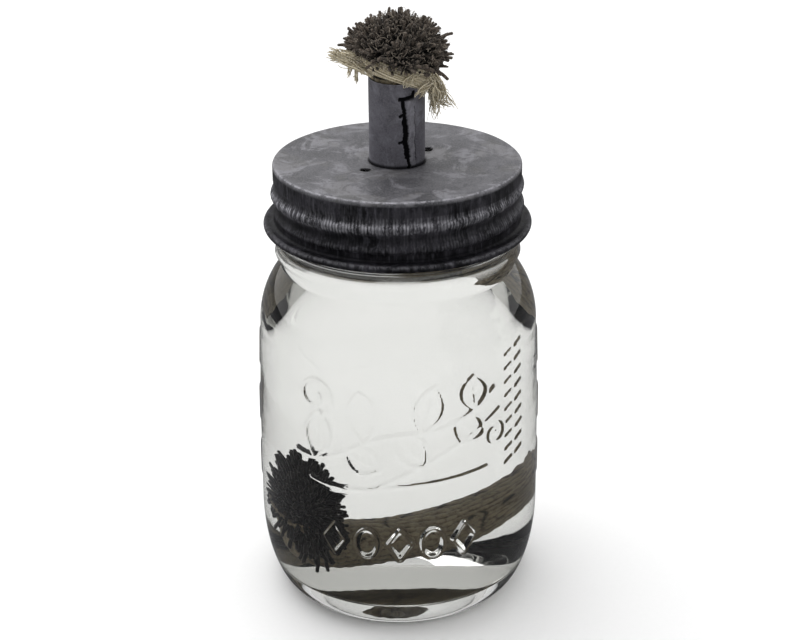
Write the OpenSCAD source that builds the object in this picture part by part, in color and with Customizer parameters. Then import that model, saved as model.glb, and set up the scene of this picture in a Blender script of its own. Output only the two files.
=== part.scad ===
// Table torch made from a screw-topped preserving jar: a glass jar of lamp oil, a threaded sheet-metal
// lid with a wick tube standing on it, and a braided wick that runs from the oil to a frayed mop.
// Millimetres. The origin is the centre of the jar's base ring, and +Z points up through the wick.

/* [Jar] */
// Height of the glass, from its base ring to its lip
jar_h = 128.6; // [127.6:0.1:130.6]
// Greatest radius of the glass, just above its heel
jar_r = 40.6; // [40:0.1:42]
// Radius of the glass where its shoulder begins
shoulder_r = 39.3; // [38.8:0.1:39.8]
// Height at which the shoulder begins
shoulder_z = 83; // [80:0.5:84]
// Thickness of the glass wall
wall = 3; // [2.6:0.1:3.2]
// Radius of the hole through the mouth
mouth_r = 30.2; // [29.8:0.1:30.4]
// Radius of the glass between the threads
neck_r = 32.8; // [32.6:0.1:32.9]
// Outer radius of the glass thread
glass_thread_r = 33.9; // [33.7:0.05:33.9]

/* [Lid] */
// Thickness of the lid's sheet metal
sheet = 0.4; // [0.3:0.05:0.4]
// Outer radius of the lid's plain top band
lid_r = 34.3; // [34.2:0.05:34.5]
// Outer radius at the crest of the lid's rolled thread
lid_bead_r = 35; // [34.9:0.05:35.2]
// Depth from the crest to the bottom of the rolled thread
lid_thread_depth = 1.25; // [1.1:0.05:1.25]
// Advance of the screw thread in one turn
pitch = 6.35; // [6.35:0.01:6.35]
// Height of the lid, from the bottom of its curled rim to its top
lid_h = 18.8; // [18.6:0.1:19.2]
// Outer radius of the curled rim
rim_r = 37.3; // [36.6:0.1:38]
// Radius of the curl itself
curl_r = 1.1; // [1:0.05:1.3]
// Radius of each vent hole
vent_r = 1.6; // [1:0.1:2]
// Distance of each vent hole from the axis
vent_orbit = 12; // [11.9:0.1:16]
// Thickness of the sealing ring when squeezed
seal_t = 1; // [0.8:0.1:1.2]

/* [Wick tube] */
// Outer radius of the rolled tube, away from its lapped seam
tube_r = 7.7; // [7.5:0.05:7.9]
// Height of the tube above the lid
tube_rise = 23.5; // [18:0.5:26]
// Length of the tube below the lid
tube_drop = 8; // [6:0.5:8]
// Direction of the lapped seam, in degrees from +X
seam_angle = -62; // [-180:1:180]

/* [Wick] */
// Gap all round between the braided wick and the tube
wick_clearance = 0.1; // [0.05:0.01:0.1]
// Thickness of the wick's woven jacket
jacket_t = 1.2; // [0.8:0.1:1.6]
// Radius of the wick where it hangs loose in the oil
loose_wick_r = 6.9; // [6:0.1:7]
// Radius of the frayed mop
mop_r = 14.8; // [13.5:0.1:18]
// Height of the mop's top above the tube
mop_rise = 17.5; // [17:0.5:22]
// Height of the oil's surface
oil_z = 106; // [100:0.5:108]
// Direction of the side of the jar that the wick hangs down, in degrees from +X
wick_angle = 38; // [32:1:44]

/* [Hidden] */

$fn = 96;
gap = 0.02; // kept between pieces that only touch

// Glass: heights and radii of the outline
base_ring = [29, 31];        // the flat ring that the jar stands on
punt = [[0, 2.5], [22, 1.2]]; // the hollow under the base
heel_rise = 26;
floor_z = 6.5;
floor_r = 26;
shoulder_bend = 26;          // radius of the shoulder's curve
shoulder_sweep = 44;         // degrees of that curve
neck_ring = [[33, 107.5], [33, 109], [34.6, 109.8], [34.9, 110.8], [34.5, 111.8]];
lip = [[32.3, -0.2], [31.7, 0], [31, 0], [30.3, -0.6]]; // heights below the lip's top
arc_steps = 14;

// Thread: heights are for the glass thread's centre, and the lid's bead sits a little higher
lid_top = jar_h + seal_t + sheet;
lid_bottom = lid_top - lid_h;
bead_z0 = 117.725;           // height of a lid bead at angle 0
bead_lead = 1.1;             // how far a lid bead sits above the glass thread inside it
ridge_turns = 1.2;
ridge_z0 = 116.4;            // lowest centre of the glass thread
ridge_section = [[-0.6, -1.6], [1.1, -0.5], [1.1, 0.5], [-0.6, 1.6]]; // from the neck's wall
ridge_fade = 0.08;           // share of the ridge that fades away at each end
turn_steps = 72;             // flats in one turn of a threaded surface
skirt_z = [114.1, 126.4];    // lowest and highest points of the lid's threaded skirt
skirt_fade = [1.4, 2.2];     // heights over which the thread fades at the skirt's bottom and top
skirt_rows = 22;
skirt_thin = 0.06;           // the skirt's faces step in this far where they enter the plain bands
skirt_bury = 0.8;            // length of skirt inside each band
band_z = skirt_z[1] - skirt_bury; // the plain top band reaches down to here
corner_r = 1;                // rounding of the lid's top edge
flare_r = 35.9;              // the skirt's flare meets the curled rim here
curl_gap = 50;               // degrees left open in the curl

// Tube and wick
tube_bottom = lid_top - tube_drop;
tube_top = lid_top + tube_rise;
lap_t = sheet;               // the lapped edge lies this far outside the tube
lap_width = 32;              // degrees
seam_slit = 3;               // degrees
tube_hole_r = tube_r + lap_t + 0.1;
collar_r = 9.6;
collar_h = 3;
tube_wall = 0.4;
wick_r = tube_r - tube_wall - wick_clearance;
upper_z0 = tube_bottom + 6;  // the wick's upper length begins here, inside the tube
lower_z1 = tube_bottom + 3.6; // and its lower length ends here
fray_z = [tube_top + 0.4, tube_top + 4.2];
fray_r = 12;
mop_z0 = fray_z[1] + gap;
tail_len = 14;
tail_r = 10;
straight_less = 0.06;        // a straight is this much thinner than the bends it runs into
tuck = 1;                    // and runs this far into them
// The wick's way down: straight length, bend radius, bend angle and the roll made before the bend
wick_way = [
    [4.1, 16, 50, 0],
    [22, 16, 50, 180],
    [34, 33, 88, 20],
    [0.5, 12, 30, -90],
    [0.5, 10, 85, 80],
    [0.5, 0, 0, 0]
];

function arc(centre_r, centre_z, rr, rz, a0, a1, n = arc_steps) =
    [for (i = [0 : n]) let (a = a0 + (a1 - a0) * i / n) [centre_r + rr * cos(a), centre_z + rz * sin(a)]];

function outer_heel() =
    arc(base_ring[1], heel_rise, jar_r - base_ring[1], heel_rise, -90, 0);

function outer_shoulder() =
    arc(shoulder_r - shoulder_bend, shoulder_z, shoulder_bend, shoulder_bend, 0, shoulder_sweep);

function inner_shoulder() =
    let (bend = shoulder_bend - wall)
    arc(shoulder_r - wall - bend, shoulder_z, bend, bend, shoulder_sweep, 0);

function inner_heel() =
    arc(floor_r, floor_z + 21, jar_r - wall - floor_r - 0.2, 21, 0, -90);

function inside_outline() = concat(
    [[mouth_r, jar_h - 1.6], [mouth_r, 112], [mouth_r + 0.2, 108], [31.2, 102.5]],
    inner_shoulder(),
    inner_heel(),
    [[20, floor_z + 0.1], [10, floor_z + 1.1], [0, floor_z + 1.5]]
);

function outside_outline() = concat(
    punt,
    [[base_ring[0], 0]],
    outer_heel(),
    [[jar_r - 0.4, 60]],
    outer_shoulder(),
    [[33.6, 105.5]],
    neck_ring,
    [[neck_r, 112.4], [neck_r, jar_h - 1]]
);

function lip_outline() = [for (p = lip) [p[0], jar_h + p[1]]];

// How far along 0 to 1 a value lies between two others, eased at both ends
function ease(v, a, b) = let (t = min(1, max(0, (v - a) / (b - a)))) t * t * (3 - 2 * t);

function helix_point(r, angle, z) = [r * cos(angle), r * sin(angle), z];

// One closed solid from rings of points that all have the same count, capped at both ends
module ring_stack(rings) {
    n = len(rings[0]);
    rows = len(rings);
    points = [for (ring = rings) each ring];
    sides = [for (i = [0 : rows - 2], j = [0 : n - 1]) let (
        a = i * n + j,
        b = i * n + (j + 1) % n,
        c = a + n,
        d = b + n
    ) each [[a, b, d], [a, d, c]]];
    first = [for (j = [1 : n - 2]) [0, j + 1, j]];
    top = (rows - 1) * n;
    last = [for (j = [1 : n - 2]) [top, top + j, top + j + 1]];
    polyhedron(points = points, faces = concat(sides, first, last));
}

// The raised thread on the glass, which fades into the neck at both ends
module glass_thread() {
    steps = round(ridge_turns * turn_steps);
    rise = ridge_turns * pitch;
    angle0 = 360 * (ridge_z0 + bead_lead - bead_z0) / pitch;
    scale_r = (glass_thread_r - neck_r) / ridge_section[1][0];
    rings = [for (i = [0 : steps]) let (
        t = i / steps,
        fade = ease(t, 0, ridge_fade) * ease(1 - t, 0, ridge_fade),
        angle = angle0 + 360 * ridge_turns * t
    ) [for (p = ridge_section) helix_point(
        p[0] < 0 ? neck_r + p[0] : neck_r - 0.2 + (p[0] * scale_r + 0.2) * fade,
        angle,
        ridge_z0 + rise * t + p[1]
    )]];
    ring_stack(rings);
}

// Radius of the lid's outer face in its threaded stretch
function skirt_radius(angle, z) =
    let (
        half_depth = lid_thread_depth / 2,
        bead_z = bead_z0 + pitch * angle / 360,
        wave = lid_bead_r - half_depth + half_depth * cos(360 * (z - bead_z) / pitch),
        low = ease(z, skirt_z[0] + 1, skirt_z[0] + 1 + skirt_fade[0]),
        high = ease(skirt_z[1] - 1 - z, 0, skirt_fade[1])
    )
    lid_r + (wave - lid_r) * low * high;

// The lid's skirt between the plain band and the flare, rolled into a screw thread
module threaded_skirt() {
    span = skirt_z[1] - skirt_z[0];
    function height(k) = skirt_z[0] + span * k / skirt_rows;
    function step_in(z) = skirt_thin * (1 - ease(z - skirt_z[0], 1, 1.6) * ease(skirt_z[1] - z, 1, 1.6));
    outer = [for (k = [0 : skirt_rows], j = [0 : turn_steps - 1]) let (
        z = height(k),
        a = 360 * j / turn_steps
    ) helix_point(skirt_radius(a, z) - step_in(z), a, z)];
    inner = [for (k = [0 : skirt_rows], j = [0 : turn_steps - 1]) let (
        z = height(k),
        a = 360 * j / turn_steps
    ) helix_point(skirt_radius(a, z) - sheet + step_in(z), a, z)];
    n = turn_steps;
    shift = len(outer);
    walls = [for (k = [0 : skirt_rows - 1], j = [0 : n - 1]) let (
        a = k * n + j,
        b = k * n + (j + 1) % n,
        c = a + n,
        d = b + n
    ) each [[a, c, d], [a, d, b], [shift + a, shift + d, shift + c], [shift + a, shift + b, shift + d]]];
    edge = skirt_rows * n;
    ends = [for (j = [0 : n - 1]) let (j2 = (j + 1) % n) each [
        [j, j2, shift + j2], [j, shift + j2, shift + j],
        [edge + j, shift + edge + j2, edge + j2], [edge + j, shift + edge + j, shift + edge + j2]
    ]];
    polyhedron(points = concat(outer, inner), faces = concat(walls, ends));
}

// The lid's flat top, its rounded edge and the plain band below it
module lid_cap() {
    outer = arc(lid_r - corner_r, lid_top - corner_r, corner_r, corner_r, 0, 90, 6);
    inner = arc(lid_r - corner_r, lid_top - corner_r, corner_r - sheet, corner_r - sheet, 90, 0, 6);
    rotate_extrude() polygon(concat(
        [[lid_r, band_z]],
        outer,
        [[tube_hole_r, lid_top], [tube_hole_r, lid_top - sheet]],
        inner,
        [[lid_r - sheet, band_z]]
    ));
}

// The flare below the thread and the open curl that stiffens the lid's edge
module lid_rim() {
    curl = [rim_r - curl_r, lid_bottom + curl_r];
    start = 115;
    stop = start - 360 + curl_gap;
    steps = 24;
    rotate_extrude() polygon(concat(
        [[lid_r, skirt_z[0] + skirt_bury], [lid_r, skirt_z[0] - 0.1]],
        arc(curl[0], curl[1], curl_r, curl_r, start, stop, steps),
        arc(curl[0], curl[1], curl_r - sheet, curl_r - sheet, stop, start - 20, steps),
        [[flare_r - 0.6, curl[1] + 0.5], [lid_r - sheet, skirt_z[0] - 0.5]],
        [[lid_r - sheet, skirt_z[0] + skirt_bury]]
    ));
}

module vent_holes() {
    for (side = [45, 225])
        rotate(side) translate([vent_orbit, 0, lid_top - 2]) cylinder(h = 4, r = vent_r);
}

module ring(r_out, r_in) {
    difference() {
        circle(r_out);
        if (r_in > 0) circle(r_in);
    }
}

module sector(r, a0, a1) {
    intersection() {
        circle(r);
        polygon([[0, 0], 2 * r * [cos(a0), sin(a0)], 2 * r * [cos(a1), sin(a1)]]);
    }
}

// The strip of sheet that overlaps the tube's own edge
module seam_lap(extra = 0) {
    intersection() {
        ring(tube_r + lap_t + extra, tube_r - 0.1);
        sector(tube_r + 2, seam_angle - lap_width / 2 - 2 * extra, seam_angle + lap_width / 2 + 2 * extra);
    }
}

// A rod that follows a list of straights and bends, starting downwards from the origin
module along_way(way, r, overrun = 0) {
    rotate([180, 0, 0]) way_step(way, r, overrun, 0);
}

module way_step(way, r, overrun, i) {
    if (i < len(way)) {
        straight = way[i][0];
        bend = way[i][1];
        turn = way[i][2];
        before = i > 0 ? tuck : overrun;
        after = bend > 0 ? tuck : overrun;
        translate([0, 0, -before]) cylinder(h = before + straight + after, r = r - straight_less);
        translate([0, 0, straight]) rotate([0, 0, way[i][3]]) {
            if (bend > 0)
                translate([bend, 0, 0]) rotate([0, 0, 180]) rotate([90, 0, 0])
                    rotate_extrude(angle = turn) translate([bend, 0]) circle(r);
            translate([bend * (1 - cos(turn)), 0, bend * sin(turn)]) rotate([0, turn, 0])
                way_step(way, r, overrun, i + 1);
        }
    }
}

// Places its children at the far end of the way, with +Z pointing onwards
module at_way_end(way, i = 0) {
    if (i < len(way)) {
        bend = way[i][1];
        turn = way[i][2];
        translate([0, 0, way[i][0]]) rotate([0, 0, way[i][3]])
            translate([bend * (1 - cos(turn)), 0, bend * sin(turn)]) rotate([0, turn, 0])
                at_way_end(way, i + 1) children();
    } else {
        children();
    }
}

module place_lower_wick() {
    translate([0, 0, lower_z1]) rotate(wick_angle) children();
}

// The frayed brush at the wick's lower end
module tail_solid(extra = 0) {
    place_lower_wick() rotate([180, 0, 0]) at_way_end(wick_way)
        rotate_extrude() polygon([
            [0, gap - extra],
            [loose_wick_r + extra, gap - extra],
            [tail_r + extra, tail_len * 0.45],
            [tail_r - 1 + extra, tail_len * 0.85],
            [tail_r * 0.5, tail_len + extra],
            [0, tail_len + extra]
        ]);
}

module glass_jar() {
    color([0.86, 0.9, 0.88, 0.35]) union() {
        rotate_extrude() polygon(concat(outside_outline(), lip_outline(), inside_outline()));
        glass_thread();
    }
}

module lamp_oil() {
    color([0.93, 0.91, 0.84, 0.3]) difference() {
        rotate_extrude() intersection() {
            polygon(concat(
                [for (p = inside_outline()) [max(0, p[0] - (p[0] > 0 ? gap : 0)), p[1] + gap]],
                [[0, jar_h]]
            ));
            square([jar_r, oil_z]);
        }
        place_lower_wick() along_way(wick_way, loose_wick_r + gap);
        tail_solid(gap);
    }
}

module sealing_ring() {
    color([0.75, 0.73, 0.68]) rotate_extrude() polygon([
        [30.7, jar_h + 0.2],
        [31, jar_h],
        [33.2, jar_h],
        [33.5, jar_h + 0.3],
        [33.5, jar_h + seal_t - 0.3],
        [33.2, jar_h + seal_t],
        [31, jar_h + seal_t],
        [30.7, jar_h + seal_t - 0.2]
    ]);
}

module screw_lid() {
    color([0.24, 0.25, 0.28]) union() {
        difference() {
            lid_cap();
            vent_holes();
        }
        threaded_skirt();
        lid_rim();
    }
}

module wick_tube() {
    color([0.38, 0.39, 0.43]) translate([0, 0, tube_bottom]) linear_extrude(tube_top - tube_bottom) {
        difference() {
            ring(tube_r, tube_r - tube_wall);
            sector(tube_r + 1, seam_angle - seam_slit / 2, seam_angle + seam_slit / 2);
        }
        seam_lap();
    }
}

module tube_collar() {
    color([0.3, 0.31, 0.34]) translate([0, 0, lid_top - sheet - collar_h]) difference() {
        cylinder(h = collar_h, r = collar_r);
        translate([0, 0, -1]) cylinder(h = collar_h + 2, r = tube_r);
        translate([0, 0, -1]) linear_extrude(collar_h + 2) seam_lap(0.05);
    }
}

module wick_core_upper() {
    color([0.2, 0.16, 0.14]) translate([0, 0, upper_z0])
        cylinder(h = mop_z0 - gap - upper_z0, r = wick_r - jacket_t - gap);
}

module wick_jacket_upper() {
    color([0.42, 0.34, 0.27]) translate([0, 0, upper_z0])
        linear_extrude(fray_z[0] - gap - upper_z0) ring(wick_r, wick_r - jacket_t);
}

module wick_mop() {
    height = tube_top + mop_rise - mop_z0;
    color([0.22, 0.18, 0.16]) translate([0, 0, mop_z0]) rotate_extrude() polygon(concat(
        [[0, 0], [fray_r - 2, 0]],
        [for (a = [-30 : 10 : 90]) [mop_r * cos(a), height * 0.4 + height * 0.6 * sin(a)]]
    ));
}

module jacket_fray() {
    color([0.72, 0.64, 0.5]) rotate_extrude() polygon([
        [wick_r - jacket_t, fray_z[0]],
        [fray_r - 2, fray_z[0]],
        [fray_r, fray_z[0] + 1.6],
        [fray_r - 1, fray_z[1]],
        [wick_r - jacket_t, fray_z[1]]
    ]);
}

module wick_core_lower() {
    color([0.2, 0.16, 0.14]) place_lower_wick() along_way(wick_way, loose_wick_r - jacket_t - gap);
}

module wick_jacket_lower() {
    color([0.36, 0.28, 0.2]) place_lower_wick() difference() {
        along_way(wick_way, loose_wick_r);
        along_way(wick_way, loose_wick_r - jacket_t, 0.5);
    }
}

module wick_tail() {
    color([0.14, 0.12, 0.11]) tail_solid();
}

glass_jar();
lamp_oil();
sealing_ring();
screw_lid();
wick_tube();
tube_collar();
wick_core_upper();
wick_jacket_upper();
wick_mop();
jacket_fray();
wick_core_lower();
wick_jacket_lower();
wick_tail();
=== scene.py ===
"""Looks of the mason jar lantern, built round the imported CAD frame.

Shapes are worked out in millimetres in the frame's own axes (+Z up, the jar's base ring at z = 0) and become
metres when a mesh is made. Angles are in radians, measured from +X towards +Y, so -Y is the viewer's side.
"""

import math

import bpy
import numpy as np
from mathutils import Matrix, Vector


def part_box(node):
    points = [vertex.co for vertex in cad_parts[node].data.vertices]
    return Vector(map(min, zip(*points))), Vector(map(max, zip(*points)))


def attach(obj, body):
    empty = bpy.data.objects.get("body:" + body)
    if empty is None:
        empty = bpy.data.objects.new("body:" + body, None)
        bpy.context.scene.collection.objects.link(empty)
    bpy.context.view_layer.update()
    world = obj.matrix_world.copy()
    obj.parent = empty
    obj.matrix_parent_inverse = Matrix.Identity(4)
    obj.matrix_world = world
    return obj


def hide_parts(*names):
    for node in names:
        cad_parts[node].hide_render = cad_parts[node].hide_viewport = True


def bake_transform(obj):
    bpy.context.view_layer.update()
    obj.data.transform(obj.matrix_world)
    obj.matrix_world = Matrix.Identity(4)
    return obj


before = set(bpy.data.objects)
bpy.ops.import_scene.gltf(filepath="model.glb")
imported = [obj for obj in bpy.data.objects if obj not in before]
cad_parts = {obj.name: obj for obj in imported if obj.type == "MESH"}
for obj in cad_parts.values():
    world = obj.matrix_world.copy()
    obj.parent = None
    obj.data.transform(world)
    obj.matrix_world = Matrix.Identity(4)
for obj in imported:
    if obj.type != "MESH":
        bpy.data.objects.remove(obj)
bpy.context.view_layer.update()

MM = 0.001
TURN = 2 * math.pi
FRONT = -math.pi / 2
SEED = 20
BRIGHT_SIDE, DIM_SIDE = 0.9, 0.35  # the studio's brightness above and behind, and on the viewer's side

# ---------------------------------------------------------------- sizes, from the frame where it has them


def node_box(node):
    """Lowest and highest corners of a CAD node, in millimetres."""
    low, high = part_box(node)
    return np.array(low) / MM, np.array(high) / MM


JAR_R, _, JAR_H = node_box("glass_jar")[1]
RIM_R, _, LID_TOP = node_box("screw_lid")[1]
TUBE_R, _, TUBE_TOP = node_box("wick_tube")[1]
LID_BOTTOM = node_box("screw_lid")[0][2]
TUBE_BOTTOM = node_box("wick_tube")[0][2]
OIL_Z = node_box("lamp_oil")[1][2]
MOP_TOP = node_box("wick_mop")[1][2]
UPPER_BOTTOM = node_box("wick_core_upper")[0][2]
LOWER_TOP = node_box("wick_core_lower")[1][2]

# Glass: the outline's driving sizes
SHOULDER_R = JAR_R - 1.3
SHOULDER_Z = 83.0
SHOULDER_BEND = 26.0
SHOULDER_SWEEP = math.radians(44)
HEEL_RISE = 26.0
BASE_RING = (29.0, 31.0)
WALL = 3.0
MOUTH_R = 30.2
NECK_R = 32.8
FLOOR_Z = 6.5
GLASS_IOR, OIL_IOR = 1.5, 1.44

# Lid: one sheet whose skirt is rolled into a thread. A bead's height at angle 0 and its lead over the glass
# thread inside it set where the two run.
SHEET = 0.4
LID_R = 34.3
LID_BEAD_R = 35.0
LID_DEPTH = 1.25
SKIRT_BOTTOM, SKIRT_TOP = 114.2, 125.4
CURL_R = 1.1
PITCH = 6.35
BEAD_Z0 = 117.725
BEAD_LEAD = 1.1

# Wick: the mop is part of an ellipsoid, and the lower length follows a soft curve through the oil
MOP_CENTRE = np.array([0, 0, MOP_TOP - 11.4])
MOP_STRETCH = np.array([13.6, 13.6, 10.8])
LOWER_WAY = [
    (0, 0, LOWER_TOP), (1.3, 1.2, 115), (12, 6, 107), (20.5, 11.5, 96), (22.8, 16.4, 84), (22.6, 20.4, 70),
    (22.3, 20.8, 54), (22.3, 20.8, 36), (18.5, 15, 21), (4, 8, 14), (-13, 3, 14), (-20.5, -2, 14.5),
    (-20.5, -4.5, 26),
]

# ---------------------------------------------------------------- small maths


def ease(value, start, end):
    """0 before start, 1 after end, smooth between."""
    t = np.clip((np.asarray(value, float) - start) / (end - start), 0, 1)
    return t * t * (3 - 2 * t)


def polar(r, angle, z):
    """Points from radii, angles and heights of any matching shapes."""
    r, angle, z = np.broadcast_arrays(r, angle, z)
    return np.stack([r * np.cos(angle), r * np.sin(angle), z], -1)


def pole(z):
    """The one-point ring that closes a round shape on its axis."""
    return np.array([[0.0, 0.0, z]])


def unit(v):
    """Vectors scaled to length 1."""
    return v / np.maximum(np.linalg.norm(v, axis=-1, keepdims=True), 1e-12)


def arc(centre_r, centre_z, rr, rz, a0, a1, n):
    """n points on an elliptical arc of an outline, as (radius, height)."""
    a = np.linspace(a0, a1, n)
    return np.stack([centre_r + rr * np.cos(a), centre_z + rz * np.sin(a)], -1)


def wobble(rng, angle, terms, size):
    """A smooth closed random wave round a circle."""
    total = np.zeros(np.shape(angle))
    for k in terms:
        total = total + rng.normal() * np.cos(k * np.asarray(angle) + rng.uniform(0, TURN)) / k**0.5
    return size * total


def turn_gap(angle, other):
    """Signed difference of two angles, the short way round."""
    return np.remainder(angle - other + math.pi, TURN) - math.pi


def walked(points):
    """Distance walked along a polyline at each of its points."""
    return np.concatenate([[0], np.cumsum(np.linalg.norm(np.diff(points, axis=0), axis=1))])


def resample(points, count):
    """count points evenly spaced along a polyline."""
    points = np.asarray(points, float)
    along = walked(points)
    wanted = np.linspace(0, along[-1], count)
    return np.stack([np.interp(wanted, along, points[:, k]) for k in range(points.shape[1])], -1)


def soft_curve(points, count):
    """A B-spline through its end points, guided by the points between, as count even samples."""
    points = np.asarray(points, float)
    n = len(points)
    order = min(3, n - 1)
    knots = np.concatenate([np.zeros(order), np.linspace(0, 1, n - order + 1), np.ones(order)])
    u = np.linspace(0, 1 - 1e-9, count * 4)
    basis = np.array([(u >= knots[i]) & (u < knots[i + 1]) for i in range(len(knots) - 1)], float)
    for d in range(1, order + 1):
        rows = []
        for i in range(len(knots) - d - 1):
            left = knots[i + d] - knots[i]
            right = knots[i + d + 1] - knots[i + 1]
            a = (u - knots[i]) / left * basis[i] if left > 0 else 0
            b = (knots[i + d + 1] - u) / right * basis[i + 1] if right > 0 else 0
            rows.append(a + b)
        basis = np.array([r * np.ones(len(u)) for r in rows])
    return resample(basis.T @ points, count)


def path_frames(path):
    """Two unit vectors square to a path at each point, carried along it without twisting."""
    tangent = unit(np.gradient(path, axis=0))
    side = np.zeros_like(path)
    side[0] = unit(np.cross(tangent[0], [0.31, 0.95, 0.05]))
    for i in range(1, len(path)):
        side[i] = unit(side[i - 1] - tangent[i] * (side[i - 1] @ tangent[i]))
    return side, np.cross(tangent, side)


# ---------------------------------------------------------------- meshes


def make_mesh(name, verts, quads=(), tris=(), material=None, values=None):
    """A smooth-shaded object from vertices in millimetres, with any per-vertex float attributes."""
    verts = np.asarray(verts, float) * MM
    quads = np.asarray(quads, np.int32).reshape(-1, 4)
    tris = np.asarray(tris, np.int32).reshape(-1, 3)
    mesh = bpy.data.meshes.new(name)
    mesh.vertices.add(len(verts))
    mesh.vertices.foreach_set("co", verts.astype(np.float32).ravel())
    loops = np.concatenate([quads.ravel(), tris.ravel()])
    counts = np.concatenate([np.full(len(quads), 4), np.full(len(tris), 3)])
    mesh.loops.add(len(loops))
    mesh.loops.foreach_set("vertex_index", loops)
    mesh.polygons.add(len(counts))
    mesh.polygons.foreach_set("loop_start", np.concatenate([[0], np.cumsum(counts)[:-1]]))
    mesh.polygons.foreach_set("use_smooth", np.ones(len(counts), bool))
    mesh.update(calc_edges=True)
    mesh.validate()
    for key, data in (values or {}).items():
        mesh.attributes.new(key, "FLOAT", "POINT").data.foreach_set("value", np.asarray(data, np.float32))
    if material:
        mesh.materials.append(material)
    piece = bpy.data.objects.new(name, mesh)
    bpy.context.scene.collection.objects.link(piece)
    return piece


def settle(piece, node=None, body=None):
    """Hides the CAD node a piece stands for and attaches the piece to its body, each where it is given."""
    if node:
        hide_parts(node)
    if body:
        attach(piece, body)


def ring_faces(rows, cols):
    """Quads of a grid whose rows are closed rings, laid out row by row."""
    i, j = np.meshgrid(np.arange(rows - 1), np.arange(cols), indexing="ij")
    a = i * cols + j
    b = i * cols + (j + 1) % cols
    return np.stack([a, b, b + cols, a + cols], -1).reshape(-1, 4)


def loft(rings, closed=False):
    """Vertices, quads and triangles of rings of points joined in turn. A ring may have a whole multiple of
    its neighbour's count, and a ring of one point is a pole. closed joins the last ring to the first."""
    counts = [len(r) for r in rings]
    starts = np.concatenate([[0], np.cumsum(counts)])
    quads, tris = [], []
    pairs = [(k, k + 1) for k in range(len(rings) - 1)] + ([(len(rings) - 1, 0)] if closed else [])
    for p, q in pairs:
        n, m = counts[p], counts[q]
        if n == m:
            j = np.arange(n)
            j2 = (j + 1) % n
            quads.append(np.stack([starts[p] + j, starts[p] + j2, starts[q] + j2, starts[q] + j], -1))
        elif m > n:
            tris.append(fan_between(starts[p], n, starts[q], m))
        else:
            tris.append(fan_between(starts[q], m, starts[p], n)[:, ::-1])
    quads = np.concatenate(quads) if quads else np.zeros((0, 4), int)
    tris = np.concatenate(tris) if tris else np.zeros((0, 3), int)
    return np.concatenate(rings), quads, tris


def fan_between(coarse, n, fine, m):
    """Triangles from a ring of n points to a ring of m, where m is a whole multiple of n."""
    k = m // n
    out = []
    for i in range(n):
        here, there = coarse + i, coarse + (i + 1) % n
        mid = k // 2 if n > 1 else k
        for s in range(k):
            base = here if s < mid or n == 1 else there
            out.append([base, fine + (i * k + s + 1) % m, fine + (i * k + s) % m])
        if n > 1:
            out.append([here, there, fine + (i * k + mid) % m])
    return np.array(out)


# ---------------------------------------------------------------- materials


class Shader:
    """A node material: a Principled surface and short ways to add the nodes that drive it."""

    def __init__(self, name, **inputs):
        self.material = bpy.data.materials.new(name)
        self.material.use_nodes = True
        self.tree = self.material.node_tree
        self.surface = self.tree.nodes["Principled BSDF"]
        self.set(self.surface, inputs)
        self.where = self.add("ShaderNodeTexCoord").outputs["Object"]

    def add(self, kind, settings=None, **inputs):
        node = self.tree.nodes.new(kind)
        for key, value in (settings or {}).items():
            setattr(node, key, value)
        self.set(node, inputs)
        return node

    def set(self, node, inputs):
        for key, value in inputs.items():
            socket = node.inputs[int(key[1:]) if key[0] == "_" else key.replace("_", " ")]
            if isinstance(value, bpy.types.NodeSocket):
                self.tree.links.new(value, socket)
            elif isinstance(value, tuple) and len(value) == 3 and socket.type == "RGBA":
                socket.default_value = (*value, 1)
            else:
                socket.default_value = value

    def stretched(self, x, y, z):
        return self.add("ShaderNodeMapping", Vector=self.where, Scale=(x, y, z)).outputs[0]

    def noise(self, size_mm, detail=4.0, rough=0.55, where=None, twist=0.0):
        return self.add(
            "ShaderNodeTexNoise", Vector=where or self.where, Scale=1 / (size_mm * MM), Detail=detail,
            Roughness=rough, Distortion=twist,
        ).outputs[0]

    def value(self, name):
        return self.add("ShaderNodeAttribute", {"attribute_name": name}).outputs["Fac"]

    def math(self, op, a, b=0.0, clamp=False):
        return self.add("ShaderNodeMath", {"operation": op, "use_clamp": clamp}, _0=a, _1=b).outputs[0]

    def range(self, value, low, high, to_low=0.0, to_high=1.0):
        node = self.add("ShaderNodeMapRange", {"interpolation_type": "SMOOTHSTEP"}, _0=value)
        for k, v in enumerate((low, high, to_low, to_high)):
            node.inputs[k + 1].default_value = v
        return node.outputs[0]

    def blend(self, amount, a, b):
        return self.add("ShaderNodeMixRGB", _0=amount, _1=a, _2=b).outputs[0]

    def stain(self, tone, colour, pattern, low, high, most=1.0):
        """tone with colour over it: none where pattern is low, and a share of most where it is high."""
        return self.blend(self.range(pattern, low, high, 0.0, most), tone, colour)

    def bump(self, height, depth_mm, strength):
        node = self.add("ShaderNodeBump", Height=height, Distance=depth_mm * MM, Strength=strength)
        return node.outputs[0]

    def clear_where(self, amount, tint):
        """Where amount is 1, light passes straight through the surface."""
        clear = self.add("ShaderNodeBsdfTransparent", Color=tint)
        mix = self.add("ShaderNodeMixShader", _0=amount, _1=self.surface.outputs[0], _2=clear.outputs[0])
        self.tree.links.new(mix.outputs[0], self.tree.nodes["Material Output"].inputs["Surface"])

    def finish(self, **inputs):
        self.set(self.surface, inputs)
        return self.material


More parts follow.
